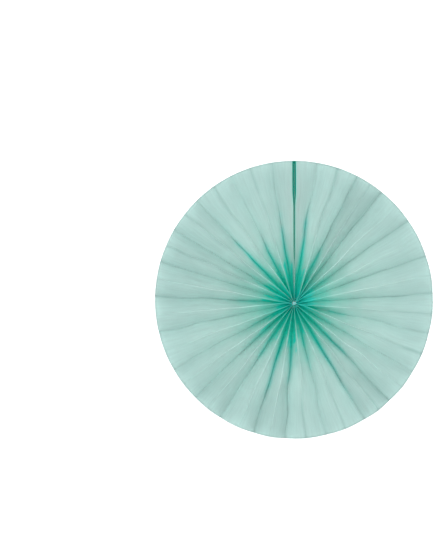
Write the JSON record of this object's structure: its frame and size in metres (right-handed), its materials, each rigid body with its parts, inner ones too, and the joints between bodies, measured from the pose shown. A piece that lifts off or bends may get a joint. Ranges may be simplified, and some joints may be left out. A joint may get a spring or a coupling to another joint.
{
  "type": "paper fan rosette",
  "caption": "Round hanging decoration: a pleated paper strip gathered at the middle and opened into a full disc, with a taped seam.",
  "frame": {"origin": "on the fan's axis, in the plane of the back folds that it lies on", "axes": "+Z along the axis out of the front, +Y from the axis along the taped seam (12 o'clock), +X to 3 o'clock seen from the front"},
  "size_m": [0.3297, 0.3297, 0.0262],
  "materials": {
    "paper": "matte mint-green paper, deeper in the folds near the hub",
    "thread": "twisted cotton thread, pale blue-green",
    "tape": "translucent double-sided tape"
  },
  "bodies": {
    "root": {"pleated_paper": "paper", "hub_thread": "thread", "seam_tape": "tape"}
  },
  "joints": []
}
